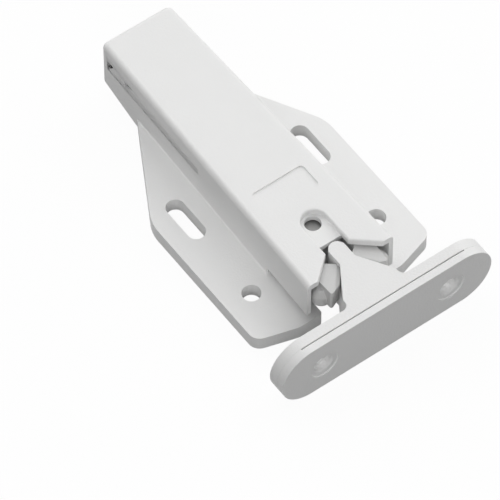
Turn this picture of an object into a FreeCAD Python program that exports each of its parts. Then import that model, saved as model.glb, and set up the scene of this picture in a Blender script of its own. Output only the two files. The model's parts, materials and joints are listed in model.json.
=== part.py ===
import FreeCAD, Part
import math
import os
import Sketcher

# Cupboard catch latch with its striker. Millimetres, +Z up.
# The origin is on the mounting face, midway between the two round screw holes.
# The mouth faces -Y and the long case runs back along +Y.
# Places named "ahead" count towards -Y from the round holes, the others towards +Y.

SIZES = (
    # mounting flange
    ("HoleSpacing", 35.0, "distance between the screw holes across the body"),
    ("HoleDiameter", 4.5, "clearance hole for a 4 mm screw, also the width of the slots"),
    ("SlotSetback", 25.0, "distance from the round holes back to the middle of the slots"),
    ("SlotTravel", 8.0, "adjustment that the slots give along the body"),
    ("FlangeThickness", 4.0, "thickness of the mounting flange"),
    ("FlangeWidth", 49.0, "width across the parallel sides of the flange"),
    ("ShoulderSetback", 28.6, "where the flange begins to narrow towards the case"),
    ("ShoulderSlope", 1.767, "length gained per width lost along the narrowing sides"),
    ("CornerSetout", 10.8, "front corners of the flange, ahead"),
    ("NoseSetout", 13.85, "straight front edges of the flange beside the notch, ahead"),
    ("FrontHalf", 14.2, "half width over which the front of the flange runs straight"),
    ("NotchWidth", 15.8, "width of the notch in the front of the flange"),
    ("NotchBack", 7.6, "rear edge of the notch, ahead"),
    ("NotchLead", 0.5, "slanted opening at the front of the notch"),
    ("ShoulderRadius", 10.0, "rounding where the sides begin to narrow"),
    ("CornerRadius", 3.0, "rounding of the front corners of the flange"),
    ("FrontRadius", 6.0, "rounding where the front of the flange begins to slant"),
    ("NotchRadius", 1.2, "rounding in the rear corners of the notch"),
    # case
    ("CaseFront", 13.3, "front of the case, ahead"),
    ("CaseRear", 68.7, "rear of the case"),
    ("CaseFrontHalf", 11.9, "half width of the case at its front"),
    ("CaseRearHalf", 9.63, "half width of the case at its rear"),
    ("RoofThickness", 1.7, "thickness of the roof"),
    ("WallThickness", 1.6, "thickness of the side walls"),
    ("RearWall", 1.8, "thickness of the rear wall"),
    ("TopRadius", 1.4, "rounding of the upper edges of the case"),
    ("RearCornerRadius", 1.5, "rounding of the upright rear corners"),
    ("RootRadius", 0.5, "hollow rounding where the case stands on the flange"),
    ("RampStart", 50.0, "where the underside of the case begins to rise"),
    ("RampRise", 3.9, "height of the underside at the rear of the case"),
    # mouth
    ("ThroatHalf", 3.15, "half width of the straight throat and of the recess behind it"),
    ("ThroatBack", 5.5, "rear end of the throat, ahead"),
    ("ThroatFront", 8.3, "where the throat opens into the flared mouth, ahead"),
    ("MouthHalf", 8.9, "half width of the mouth at the front"),
    ("MouthRadius", 0.5, "rounding of the upper edges of the mouth and the recess"),
    ("LipThickness", 1.1, "side wall at the front edge, thinned by the inner flare"),
    ("FlareBack", 6.5, "where the inner flare of the side walls begins, ahead"),
    ("SlitRear", 2.1, "rear end of the open slit over the flange"),
    ("SlitHeight", 2.0, "height of the slit over the flange"),
    # recess and label field in the roof
    ("PostSetback", 0.7, "place of the link's post and of the hole over it"),
    ("RecessSetback", 0.1, "middle of the recess's round end"),
    ("RecessDepth", 1.5, "depth of the recess"),
    ("RecessFloor", 1.4, "thickness left under the recess"),
    ("RecessWall", 1.2, "wall around the recess on the inside"),
    ("RecessHole", 4.0, "diameter of the hole in the recess"),
    ("FieldWidth", 14.1, "width of the bare label field"),
    ("FieldLength", 6.9, "length of the bare label field"),
    ("FieldSetback", 10.95, "middle of the label field"),
    ("FieldDepth", 0.35, "depth of the label field"),
    ("FieldRadius", 1.0, "corner rounding of the label field"),
    # side windows
    ("GrooveFront", 29.5, "front end of the shallow grooves ahead of the side windows"),
    ("GrooveDepth", 0.9, "depth of those grooves"),
    ("WindowLength", 8.6, "length of the side windows"),
    ("WindowSetback", 2.5, "rear end of the side windows, ahead of the case's rear face"),
    ("WindowTop", 13.0, "upper edge of the windows at the rear"),
    ("WindowBottom", 9.7, "lower edge of the windows at the rear"),
    ("WindowTaper", 0.6, "how much each edge closes in up to the front of the grooves"),
    # base cover
    ("CoverThickness", 1.7, "thickness of the base cover"),
    ("LedgeLevel", 2.0, "height of the ledge that the cover lies against"),
    ("CoverFront", 4.0, "front edge of the cover's seat, ahead"),
    ("SeatReach", 5.5, "how far the cover's seat reaches behind the carriage"),
    ("SeatInset", 0.4, "how far the seat lies inside the cavity walls"),
    ("LedgeWidth", 0.8, "width of the ledge over the cover"),
    ("CoverGap", 0.15, "clearance around the edge of the cover"),
    ("HookSetback", 2.1, "front of the cover's snap hooks behind the front end of the windows"),
    ("HookTopGap", 0.2, "clearance over the snap hooks in the windows"),
    ("HookLowGap", 0.15, "clearance under the snap hooks in the windows"),
    ("HookRearGap", 0.3, "clearance between the hooks and the rear end of the windows"),
    ("HookLead", 2.3, "length of the slanted rear of each hook"),
    ("ArmThickness", 1.3, "thickness of the arms that carry the hooks"),
    ("ArmSetback", 5.0, "front of the uprights that carry the arms, ahead of the seat's rear edge"),
    ("ArmFootLength", 3.5, "length of those uprights along the case"),
    ("HookReach", 1.6, "how far the hooks reach out into the windows"),
    ("RailThickness", 1.2, "thickness of the guide rails"),
    ("RailHeight", 3.5, "height of the guide rails over the cover"),
    ("RailFront", 17.0, "front end of the guide rails"),
    ("RailSetback", 1.5, "rear end of the guide rails, ahead of the seat's rear edge"),
    ("PostRadius", 2.0, "radius of the post that carries the link"),
    ("PostGap", 0.1, "clearance between the post and the arm of the link"),
    ("PostBore", 5.0, "depth of the bore for the link's foot"),
    # carriage
    ("Travel", 10.0, "stroke of the carriage out of the case"),
    ("PushIn", 1.2, "extra way inward that releases the catch"),
    ("RunGap", 0.3, "clearance between moving pieces and the case"),
    ("SlideGap", 0.15, "clearance between faces that slide on each other"),
    ("BlockHalf", 4.6, "half width of the rear block of the carriage"),
    ("BlockFront", 14.0, "front face of the rear block"),
    ("BlockRear", 46.0, "rear face of the rear block"),
    ("DeckFront", 3.7, "front edge of the deck, ahead"),
    ("DeckRear", 16.0, "rear edge of the deck"),
    ("BumperHalf", 2.8, "half width of the bumper that pushes the striker"),
    ("BumperGap", 0.3, "gap between the bumper and the tongue"),
    ("TrackDepth", 1.3, "depth of the looped track"),
    ("TrackFloor", 0.5, "thickness left between the track and the spring's bore"),
    ("TrackHalf", 1.0, "half width of each lane of the track"),
    # claws and their pins
    ("PivotOffset", 6.9, "sideways place of the claw pins"),
    ("PivotSetback", 4.5, "place of the claw pins"),
    ("PinRadius", 1.0, "radius of the claw pins"),
    ("PinGap", 0.05, "running clearance on pins and feet"),
    ("PressGap", 0.02, "clearance of a pin in the piece that holds it"),
    ("PinDepth", 4.0, "how deep the pins stand in the deck"),
    ("BossRadius", 2.2, "radius of the claw around its pin"),
    ("ClawHeight", 5.7, "height of the claws"),
    ("ArmInner", 5.0, "inner side of the claws' arms, from the middle"),
    ("ArmOuter", 8.0, "outer side of the claws' arms, from the middle"),
    ("ArmStep", 6.6, "where the arms begin to widen inward, ahead"),
    ("HookRoot", 4.1, "inner side of the widened arms, from the middle"),
    ("HookStart", 9.3, "where the hook begins, ahead"),
    ("NoseReach", 1.4, "how near the hook's nose comes to the middle"),
    ("HookTip", 11.3, "nose of the hook, ahead"),
    ("NoseFlat", 0.4, "blunt end of the nose"),
    ("JawInner", 4.6, "inner corner of the jaw's front, from the middle"),
    ("JawSetout", 15.5, "inner corner of the jaw's front, ahead"),
    ("JawWidth", 3.25, "width of the jaw's front"),
    ("TipSetout", 17.0, "outer corner of the jaw's front, ahead"),
    ("SlantNose", 0.85, "how far the slanted upper edge draws the nose back"),
    ("SlantJaw", 2.1, "how far the slanted upper edge runs along the jaw's front"),
    ("SlantDrop", 0.5, "height of the slanted upper edge"),
    ("HookRadius", 0.8, "hollow rounding between arm and hook"),
    ("TipRadius", 0.5, "rounding of the claws' outer tips"),
    ("LobeRadius", 2.3, "radius of the lobe on the outside of each claw"),
    ("LobeOffset", 7.9, "sideways place of the lobe"),
    ("LobeSetout", 13.1, "place of the lobe, ahead"),
    ("LobeBand", 2.2, "height of the upright band of the lobe"),
    ("LobeCrown", 2.0, "height of the tapered crown of the lobe"),
    ("CrownRadius", 1.0, "radius of the crown at its top"),
    # spring and link
    ("SpringRadius", 2.7, "outer radius of the main spring"),
    ("SpringWire", 0.8, "wire diameter of the main spring"),
    ("SpringPitch", 4.2, "pitch of the main spring"),
    ("FloorGap", 0.1, "clearance between the spring and the floor of the case"),
    ("SpringSeat", 24.0, "bottom of the spring's bore in the carriage"),
    ("WindingSteps", 12, "sections along each turn of the main spring"),
    ("WireSides", 6, "sides of the section of its wire"),
    ("SpigotLength", 5.0, "length of the spring's spigot on the rear wall"),
    ("LinkRadius", 0.6, "wire radius of the cam link"),
    ("LinkReach", 30.0, "distance between the two feet of the cam link"),
    ("LinkSwing", 2.1, "sideways way of the follower over the stroke"),
    ("LeafThickness", 0.4, "thickness of the leaf that holds the link down"),
    ("LeafGap", 0.55, "room between the leaf and the underside of the recess"),
    ("LeafWidth", 6.0, "width of the leaf"),
    ("LeafSetout", 1.9, "front end of the leaf, ahead"),
    ("LeafBend", 4.2, "where the leaf begins to rise to the roof"),
    ("LeafRise", 10.8, "length of the rising part"),
    ("LeafRear", 25.0, "rear end of the leaf"),
    # striker
    ("PlateLength", 58.0, "length of the striker plate"),
    ("PlateRear", 22.5, "face of the striker plate towards the latch, ahead"),
    ("PlateThickness", 2.65, "thickness of the striker's own plate"),
    ("PadThickness", 2.2, "thickness of the backing plate"),
    ("StrikerSpacing", 35.0, "distance between the striker's screw holes"),
    ("RingDiameter", 7.6, "shallow ring around the striker's screw holes"),
    ("RingDepth", 0.4, "depth of that ring"),
    ("HoleChamfer", 0.4, "chamfer of the screw holes inside the rings"),
    ("JointWidth", 0.3, "width of the open joint along the straight edges of the plates"),
    ("JointDepth", 2.0, "depth of that joint"),
    ("JointHalf", 22.5, "half length of that joint"),
    ("TongueHalf", 2.1, "half width of the tongue"),
    ("TongueTip", 6.4, "tip of the tongue, ahead"),
    ("FlareStart", 12.2, "where the tongue begins to flare, ahead"),
    ("FlareMiddle", 4.85, "half width of the tongue at the break of its flare"),
    ("FlareBreak", 16.5, "place of that break, ahead"),
    ("FlareFoot", 7.3, "half width of the tongue's foot"),
    ("FootLength", 2.2, "length of the tongue's straight foot before the plate"),
    ("TongueRoot", 1.5, "hollow rounding between tongue and plate"),
    ("HeelSetout", 8.2, "end of the relief under the tongue's nose, ahead"),
    ("PocketRear", 11.4, "rear of the claws' pockets at the waist, ahead"),
    ("PocketFront", 12.2, "front of the claws' pockets at the waist, ahead"),
    ("WaistHalf", 1.1, "half width of the tongue between the claws"),
    ("CapThickness", 1.2, "top of the tongue left over the claws"),
    ("CapGap", 0.2, "clearance between the claws and the top of the tongue"),
)
NAMES = {name for name, _, _ in SIZES}

# Heights and places that follow from the sizes: the works stand on each other
# from the floor of the case up to its roof, and the tongue reaches over the claws.
FOLLOWING = {
    "SpringLevel": "(FlangeThickness + FloorGap + SpringRadius)",
    "BlockTop": "(SpringLevel + SpringRadius + RunGap + TrackFloor + TrackDepth)",
    "LinkLevel": "(BlockTop + RunGap + LinkRadius)",
    "PostTop": "(LinkLevel - LinkRadius - PostGap)",
    "LeafTop": "(LinkLevel + LinkRadius + PinGap + LeafThickness)",
    "CaseHeight": "(LeafTop + LeafGap + RecessFloor + RecessDepth)",
    "ClawTop": "(CaseHeight - RoofThickness - RunGap)",
    "PlateHeight": "(ClawTop + CapGap + CapThickness)",
    "TipOffset": "(JawInner + JawWidth)",
    "FlareEnd": "(PlateRear - FootLength)",
    "CoverRear": "(BlockRear + SeatReach)",
    "WindowRear": "(CaseRear - WindowSetback)",
    "WindowFront": "(WindowRear - WindowLength)",
    "HookLength": "(WindowLength - HookSetback - HookRearGap)",
}

doc = FreeCAD.newDocument("catch_latch")


def fill_sheet():
    """Writes every driving size to the sheet, one row each."""
    sheet = doc.addObject("Spreadsheet::Sheet", "Sizes")
    for row, (name, value, words) in enumerate(SIZES, start=1):
        sheet.set("A%d" % row, name)
        sheet.set("B%d" % row, "%g" % value)
        sheet.set("C%d" % row, words)
        sheet.setAlias("B%d" % row, name)
    doc.addObject("Spreadsheet::Sheet", "Workings")
    doc.recompute()


def named(text):
    """Turns the bare names of a formula into references to the sheet."""
    out = []
    word = ""
    for letter in text + " ":
        if letter.isalpha():
            word += letter
            continue
        if word in FOLLOWING:
            word = named(FOLLOWING[word])
        out.append("Sizes." + word if word in NAMES else word)
        out.append(letter)
        word = ""
    return "".join(out).strip()


def number(formula):
    """Value of a formula at the present sizes, worked out in a sheet of its own."""
    workings = doc.getObject("Workings")
    workings.set("A1", "=" + named(formula))
    workings.recompute()
    return float(workings.get("A1"))


def point(across, along, level="0"):
    return FreeCAD.Vector(number(across), number(along), number(level))


def case_half(place):
    """Formula for the half width of the tapered case at a place along Y."""
    slope = "(CaseRearHalf - CaseFrontHalf) / (CaseRear + CaseFront)"
    return "(CaseFrontHalf + %s * (%s + CaseFront))" % (slope, place)


def cavity_half(place):
    """Formula for the half width of the cavity at a place along Y."""
    return "(%s - WallThickness)" % case_half(place)


def new_body(label):
    body = doc.addObject("PartDesign::Body", label + "_body")
    body.Label = label
    return body


def new_sketch(body, name, role, level="0"):
    """A sketch on one of the body's own planes, moved along the plane's normal."""
    sketch = body.newObject("Sketcher::SketchObject", name)
    plane = [item for item in body.Origin.OriginFeatures if item.Role == role][0]
    sketch.AttachmentSupport = [(plane, "")]
    sketch.MapMode = "FlatFace"
    sketch.setExpression("AttachmentOffset.Base.z", named(level))
    return sketch


def bind(sketch, kind, target, formula):
    """Adds one dimension to a sketch and ties it to the sheet."""
    index = sketch.addConstraint(Sketcher.Constraint(kind, *target))
    sketch.setExpression("Constraints[%d]" % index, named(formula))


def polygon(sketch, corners, closed=True):
    """An outline whose corners are each placed by two formulas."""
    count = len(corners)
    ring = [point(across, along) for across, along in corners]
    first = sketch.GeometryCount
    lines = count if closed else count - 1
    for step in range(lines):
        sketch.addGeometry(Part.LineSegment(ring[step], ring[(step + 1) % count]), False)
    for step in range(lines if closed else lines - 1):
        following = first + (step + 1) % count
        sketch.addConstraint(Sketcher.Constraint("Coincident", first + step, 2, following, 1))
    for step, (across, along) in enumerate(corners):
        owner, end = (first + step, 1) if step < lines else (first + step - 1, 2)
        bind(sketch, "DistanceX", (owner, end, ring[step].x), across)
        bind(sketch, "DistanceY", (owner, end, ring[step].y), along)


def mirrored(corners):
    """The right-hand corners followed by their mirror images, as one outline."""
    left = [("-(%s)" % across, along) for across, along in reversed(corners)]
    return list(corners) + left


def circle(sketch, across, along, radius):
    """A full circle placed and sized by formulas."""
    centre = point(across, along)
    size = number(radius)
    index = sketch.addGeometry(Part.Circle(centre, FreeCAD.Vector(0, 0, 1), size), False)
    bind(sketch, "DistanceX", (index, 3, centre.x), across)
    bind(sketch, "DistanceY", (index, 3, centre.y), along)
    bind(sketch, "Radius", (index, size), radius)


def stadium(sketch, across, along, reach, radius, upright):
    """A slot outline: two end arcs joined by tangent lines."""
    turn = 0 if upright else math.pi / 2
    size = number(radius)
    side = FreeCAD.Vector(math.cos(turn), math.sin(turn), 0) * size
    far = ("%s" % across, "%s + %s" % (along, reach)) if upright else ("%s - %s" % (across, reach), along)
    near = ("%s" % across, "%s - %s" % (along, reach)) if upright else ("%s + %s" % (across, reach), along)
    ends = []
    for place, start in ((far, turn), (near, turn + math.pi)):
        centre = point(*place)
        bow = Part.ArcOfCircle(Part.Circle(centre, FreeCAD.Vector(0, 0, 1), size), start, start + math.pi)
        index = sketch.addGeometry(bow, False)
        bind(sketch, "DistanceX", (index, 3, centre.x), place[0])
        bind(sketch, "DistanceY", (index, 3, centre.y), place[1])
        ends.append(centre)
    sketch.addGeometry(Part.LineSegment(ends[0] - side, ends[1] - side), False)
    sketch.addGeometry(Part.LineSegment(ends[1] + side, ends[0] + side), False)
    one, other, line, back = index - 1, index, index + 1, index + 2
    for joint in ((one, 2, line, 1), (line, 2, other, 1), (other, 2, back, 1), (back, 2, one, 1)):
        sketch.addConstraint(Sketcher.Constraint("Tangent", *joint))
    sketch.addConstraint(Sketcher.Constraint("Equal", one, other))
    bind(sketch, "Radius", (one, size), radius)


def arch(sketch, half, front, middle):
    """A U outline: straight sides that end in a half circle towards +Y."""
    size = number(half)
    centre = point("0", middle)
    low = number(front)
    bow = Part.ArcOfCircle(Part.Circle(centre, FreeCAD.Vector(0, 0, 1), size), 0, math.pi)
    first = sketch.addGeometry(bow, False)
    places = ((-size, centre.y), (-size, low), (size, low), (size, centre.y))
    corners = [FreeCAD.Vector(x, y, 0) for x, y in places]
    for step in range(3):
        sketch.addGeometry(Part.LineSegment(corners[step], corners[step + 1]), False)
    sketch.addConstraint(Sketcher.Constraint("Tangent", first, 2, first + 1, 1))
    sketch.addConstraint(Sketcher.Constraint("Coincident", first + 1, 2, first + 2, 1))
    sketch.addConstraint(Sketcher.Constraint("Coincident", first + 2, 2, first + 3, 1))
    sketch.addConstraint(Sketcher.Constraint("Tangent", first + 3, 2, first, 1))
    sketch.addConstraint(Sketcher.Constraint("Horizontal", first + 2))
    bind(sketch, "Radius", (first, size), half)
    bind(sketch, "DistanceX", (first, 3, 0), "0")
    bind(sketch, "DistanceY", (first, 3, centre.y), middle)
    bind(sketch, "DistanceY", (first + 2, 1, low), front)


def pad(body, name, sketch, length, back=False, both=False):
    """Adds material over a sketch and makes sure that it did."""
    doc.recompute()
    before = body.Shape.Volume if body.Tip else 0
    feature = body.newObject("PartDesign::Pad", name)
    feature.Profile = sketch
    feature.setExpression("Length", named(length))
    feature.Reversed = back
    feature.Midplane = both
    doc.recompute()
    if body.Shape.Volume < before + 0.001:
        raise RuntimeError("no material added by " + name)
    return feature


def pocket(body, name, sketch, length, back=False, both=False):
    """Removes material under a sketch and makes sure that it did."""
    doc.recompute()
    before = body.Shape.Volume
    feature = body.newObject("PartDesign::Pocket", name)
    feature.Profile = sketch
    feature.setExpression("Length", named(length))
    feature.Reversed = back
    feature.Midplane = both
    doc.recompute()
    if body.Shape.Volume > before - 0.001:
        raise RuntimeError("no material removed by " + name)
    return feature


def mirror(body, name, features):
    """Repeats features on the other side of the middle plane."""
    feature = body.newObject("PartDesign::Mirrored", name)
    feature.Originals = features
    plane = [item for item in body.Origin.OriginFeatures if item.Role == "YZ_Plane"][0]
    feature.MirrorPlane = (plane, [""])
    body.Tip = feature
    doc.recompute()
    return feature


def edges_at(shape, places):
    """Names of the edges that pass through the given places."""
    names = []
    for place in places:
        probe = Part.Vertex(point(*place))
        found = [n for n, edge in enumerate(shape.Edges, 1) if edge.distToShape(probe)[0] < 0.01]
        if not found:
            raise RuntimeError("no edge at %s" % (place,))
        names += ["Edge%d" % n for n in found]
    return sorted(set(names))


def fillet(body, name, radius, places):
    """Rounds the edges that pass through the given places."""
    doc.recompute()
    base = body.Tip
    feature = body.newObject("PartDesign::Fillet", name)
    feature.Base = (base, edges_at(base.Shape, places))
    feature.setExpression("Radius", named(radius))
    doc.recompute()
    return feature


def chamfer(body, name, size, places):
    """Chamfers the edges that pass through the given places."""
    doc.recompute()
    base = body.Tip
    feature = body.newObject("PartDesign::Chamfer", name)
    feature.Base = (base, edges_at(base.Shape, places))
    feature.setExpression("Size", named(size))
    doc.recompute()
    return feature


def both_sides(places):
    """The given places and their mirror images."""
    return [(sign + "(%s)" % x, y, z) for x, y, z in places for sign in ("", "-")]


def flange(body):
    """Mounting flange with its notch, round holes and slots."""
    half = "FlangeWidth / 2"
    waist = "FlangeWidth / 2 - CaseRearHalf + WallThickness"
    outline = new_sketch(body, "FlangeOutline", "XY_Plane")
    polygon(outline, mirrored((
        ("FrontHalf", "-NoseSetout"),
        (half, "-CornerSetout"),
        (half, "ShoulderSetback"),
        ("CaseRearHalf - WallThickness", "ShoulderSetback + (%s) * ShoulderSlope" % waist),
    )))
    pad(body, "Flange", outline, "FlangeThickness")
    shoulders = [(half, "ShoulderSetback", "FlangeThickness / 2")]
    corners = [(half, "-CornerSetout", "FlangeThickness / 2")]
    bends = [("FrontHalf", "-NoseSetout", "FlangeThickness / 2")]
    fillet(body, "ShoulderRounding", "ShoulderRadius", both_sides(shoulders))
    fillet(body, "CornerRounding", "CornerRadius", both_sides(corners))
    fillet(body, "FrontRounding", "FrontRadius", both_sides(bends))


def notch(body):
    """Notch in the front of the flange, under the mouth."""
    outline = new_sketch(body, "NotchOutline", "XY_Plane", "FlangeThickness")
    polygon(outline, mirrored((
        ("NotchWidth / 2", "-NotchBack"),
        ("NotchWidth / 2", "-NoseSetout + NotchLead"),
        ("NotchWidth / 2 + NotchLead", "-NoseSetout"),
        ("NotchWidth / 2 + NotchLead", "-NoseSetout - NotchLead"),
    )))
    pocket(body, "Notch", outline, "FlangeThickness")
    corner = ("NotchWidth / 2", "-NotchBack", "FlangeThickness / 2")
    fillet(body, "NotchRounding", "NotchRadius", both_sides([corner]))


def case_shell(body):
    """Tapered case with its rounded edges."""
    outline = new_sketch(body, "CaseOutline", "XY_Plane")
    polygon(outline, mirrored((
        ("CaseFrontHalf", "-CaseFront"),
        ("CaseRearHalf", "CaseRear"),
    )))
    pad(body, "Case", outline, "CaseHeight")
    rear = [("CaseRearHalf", "CaseRear", "CaseHeight - RoofThickness")]
    fillet(body, "RearCorners", "RearCornerRadius", both_sides(rear))
    top = [(case_half("0"), "0", "CaseHeight")]
    fillet(body, "TopRounding", "TopRadius", top)
    root = [(case_half("ShoulderSetback"), "ShoulderSetback", "FlangeThickness")]
    fillet(body, "RootRounding", "RootRadius", both_sides(root))


def cavity(body):
    """Hollow of the case, its ledge and the seat of the base cover."""
    rear = "CaseRear - RearWall"
    hollow = new_sketch(body, "CavityOutline", "XY_Plane", "CaseHeight - RoofThickness")
    polygon(hollow, mirrored((
        ("CaseFrontHalf - LipThickness", "-CaseFront - NoseSetout"),
        ("CaseFrontHalf - LipThickness", "-CaseFront"),
        (cavity_half("-FlareBack"), "-FlareBack"),
        (cavity_half(rear), rear),
    )))
    pocket(body, "Cavity", hollow, "CaseHeight - RoofThickness - FlangeThickness")
    for name, level, border in (
        ("Opening", "FlangeThickness", "LedgeWidth"),
        ("Seat", "LedgeLevel", "0"),
    ):
        front = "(%s - CoverFront)" % border
        back = "(CoverRear - %s)" % border
        inset = "SeatInset - %s" % border
        outline = new_sketch(body, name + "Outline", "XY_Plane", level)
        polygon(outline, mirrored((
            ("%s - %s" % (cavity_half(front), inset), front),
            ("%s - %s" % (cavity_half(back), inset), back),
        )))
        pocket(body, name, outline, level)


def ramp(body):
    """Underside that rises towards the rear of the case."""
    end = "(CaseRear + RearWall)"
    outline = new_sketch(body, "RampOutline", "YZ_Plane")
    polygon(outline, (
        ("RampStart", "0"),
        (end, "0"),
        (end, "RampRise * (%s - RampStart) / (CaseRear - RampStart)" % end),
    ))
    pocket(body, "Ramp", outline, "FlangeWidth", both=True)


def mouth(body):
    """Throat and flared mouth in the roof, and the slits over the flange."""
    outline = new_sketch(body, "MouthOutline", "XY_Plane", "CaseHeight")
    polygon(outline, mirrored((
        ("ThroatHalf", "-ThroatBack"),
        ("ThroatHalf", "-ThroatFront"),
        ("MouthHalf", "-CaseFront"),
        ("MouthHalf", "-CaseFront - NoseSetout"),
    )))
    pocket(body, "Mouth", outline, "RecessDepth + RecessFloor")
    slit = new_sketch(body, "SlitOutline", "YZ_Plane")
    polygon(slit, (
        ("-CaseFront - NoseSetout", "FlangeThickness"),
        ("SlitRear", "FlangeThickness"),
        ("SlitRear", "FlangeThickness + SlitHeight"),
        ("-CaseFront - NoseSetout", "FlangeThickness + SlitHeight"),
    ))
    pocket(body, "Slits", slit, "FlangeWidth", both=True)


def roof_details(body):
    """Recess over the link's post, its hole and the bare label field."""
    wall = new_sketch(body, "RecessWallOutline", "XY_Plane", "CaseHeight - RecessDepth - RecessFloor")
    arch(wall, "ThroatHalf + RecessWall", "-ThroatBack", "RecessSetback")
    pad(body, "RecessBowl", wall, "RecessDepth + RecessFloor - RoofThickness / 2")
    dish = new_sketch(body, "RecessOutline", "XY_Plane", "CaseHeight")
    arch(dish, "ThroatHalf", "-ThroatBack - RunGap", "RecessSetback")
    pocket(body, "Recess", dish, "RecessDepth")
    rim = [
        ("0", "RecessSetback + ThroatHalf", "CaseHeight"),
        ("(ThroatHalf + MouthHalf) / 2", "-(ThroatFront + CaseFront) / 2", "CaseHeight"),
        ("-(ThroatHalf + MouthHalf) / 2", "-(ThroatFront + CaseFront) / 2", "CaseHeight"),
    ]
    fillet(body, "MouthRounding", "MouthRadius", rim)
    hole = new_sketch(body, "RecessHoleOutline", "XY_Plane", "CaseHeight")
    circle(hole, "0", "PostSetback", "RecessHole / 2")
    pocket(body, "RecessHole", hole, "RecessDepth + RecessFloor")
    field = new_sketch(body, "FieldOutline", "XY_Plane", "CaseHeight")
    polygon(field, mirrored((
        ("FieldWidth / 2", "FieldSetback - FieldLength / 2"),
        ("FieldWidth / 2", "FieldSetback + FieldLength / 2"),
    )))
    pocket(body, "LabelField", field, "FieldDepth")
    corners = []
    for sign in ("+", "-"):
        along = "FieldSetback %s FieldLength / 2" % sign
        corners.append(("FieldWidth / 2", along, "CaseHeight - FieldDepth / 2"))
    fillet(body, "FieldRounding", "FieldRadius", both_sides(corners))


def window_edges(place):
    """Formulas for the lower and upper edge of the windows and grooves at a place along Y."""
    taper = "WindowTaper * (WindowRear - %s) / (WindowRear - GrooveFront)" % place
    return "WindowBottom + " + taper, "WindowTop - " + taper


def windows(body):
    """Windows through both side walls, each with a shallow groove ahead of it."""
    outline = new_sketch(body, "WindowOutline", "YZ_Plane")
    low, high = window_edges("WindowFront")
    polygon(outline, (
        ("WindowFront", low),
        ("WindowRear", "WindowBottom"),
        ("WindowRear", "WindowTop"),
        ("WindowFront", high),
    ))
    pocket(body, "Windows", outline, "FlangeWidth", both=True)
    ends = []
    for name, place in (("GrooveStart", "GrooveFront"), ("GrooveEnd", "WindowFront")):
        low, high = window_edges(place)
        floor = "%s - GrooveDepth" % case_half(place)
        outside = "%s + GrooveDepth" % case_half(place)
        section = new_sketch(body, name, "XZ_Plane", "-%s" % place)
        polygon(section, ((floor, low), (outside, low), (outside, high), (floor, high)))
        ends.append(section)
    doc.recompute()
    before = body.Shape.Volume
    groove = body.newObject("PartDesign::SubtractiveLoft", "Groove")
    groove.Profile = ends[0]
    groove.Sections = [ends[1]]
    doc.recompute()
    if body.Shape.Volume > before - 0.001:
        raise RuntimeError("no material removed by Groove")
    mirror(body, "OtherGroove", [groove])


def mounting_holes(body):
    """Two round holes and two slots through the flange."""
    holes = new_sketch(body, "HoleCircles", "XY_Plane", "FlangeThickness")
    circle(holes, "HoleSpacing / 2", "0", "HoleDiameter / 2")
    circle(holes, "-HoleSpacing / 2", "0", "HoleDiameter / 2")
    pocket(body, "ScrewHoles", holes, "FlangeThickness")
    slots = new_sketch(body, "SlotOutlines", "XY_Plane", "FlangeThickness")
    for sign in ("", "-"):
        across = sign + "HoleSpacing / 2"
        stadium(slots, across, "SlotSetback", "SlotTravel / 2", "HoleDiameter / 2", True)
    pocket(body, "ScrewSlots", slots, "FlangeThickness")


def spigot(body):
    """Short peg on the rear wall that centres the main spring."""
    seat = new_sketch(body, "SpigotCircle", "XZ_Plane", "-CaseRear + RearWall")
    circle(seat, "0", "SpringLevel", "SpringRadius - SpringWire - RunGap")
    pad(body, "SpringSpigot", seat, "SpigotLength")


def housing():
    """Moulded case with its flange."""
    body = new_body("housing")
    flange(body)
    case_shell(body)
    notch(body)
    cavity(body)
    ramp(body)
    mouth(body)
    roof_details(body)
    windows(body)
    mounting_holes(body)
    spigot(body)
    return body


def cover_plate(body):
    """Plate that fits the seat under the case."""
    inset = "SeatInset - CoverGap"
    outline = new_sketch(body, "PlateOutline", "XY_Plane", "LedgeLevel - CoverThickness")
    polygon(outline, mirrored((
        ("%s - %s" % (cavity_half("-CoverFront"), inset), "-CoverFront + CoverGap"),
        ("%s - %s" % (cavity_half("CoverRear"), inset), "CoverRear - CoverGap"),
    )))
    pad(body, "Plate", outline, "CoverThickness")


def cover_rails(body):
    """Two rails that guide the rear block of the carriage."""
    rails = new_sketch(body, "RailOutline", "XY_Plane", "LedgeLevel")
    inner = "BlockHalf + SlideGap"
    for sign in ("", "-"):
        polygon(rails, (
            ("%s(%s)" % (sign, inner), "RailFront"),
            ("%s(%s + RailThickness)" % (sign, inner), "RailFront"),
            ("%s(%s + RailThickness)" % (sign, inner), "CoverRear - RailSetback"),
            ("%s(%s)" % (sign, inner), "CoverRear - RailSetback"),
        ))
    pad(body, "Rails", rails, "RailHeight")


def cover_post(body):
    """Post with the bore for the link's foot."""
    post = new_sketch(body, "PostCircle", "XY_Plane", "LedgeLevel")
    circle(post, "0", "PostSetback", "PostRadius")
    pad(body, "Post", post, "PostTop - LedgeLevel")
    bore = new_sketch(body, "PostBoreCircle", "XY_Plane", "PostTop")
    circle(bore, "0", "PostSetback", "LinkRadius + PinGap")
    pocket(body, "PostBore", bore, "PostBore")


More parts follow.
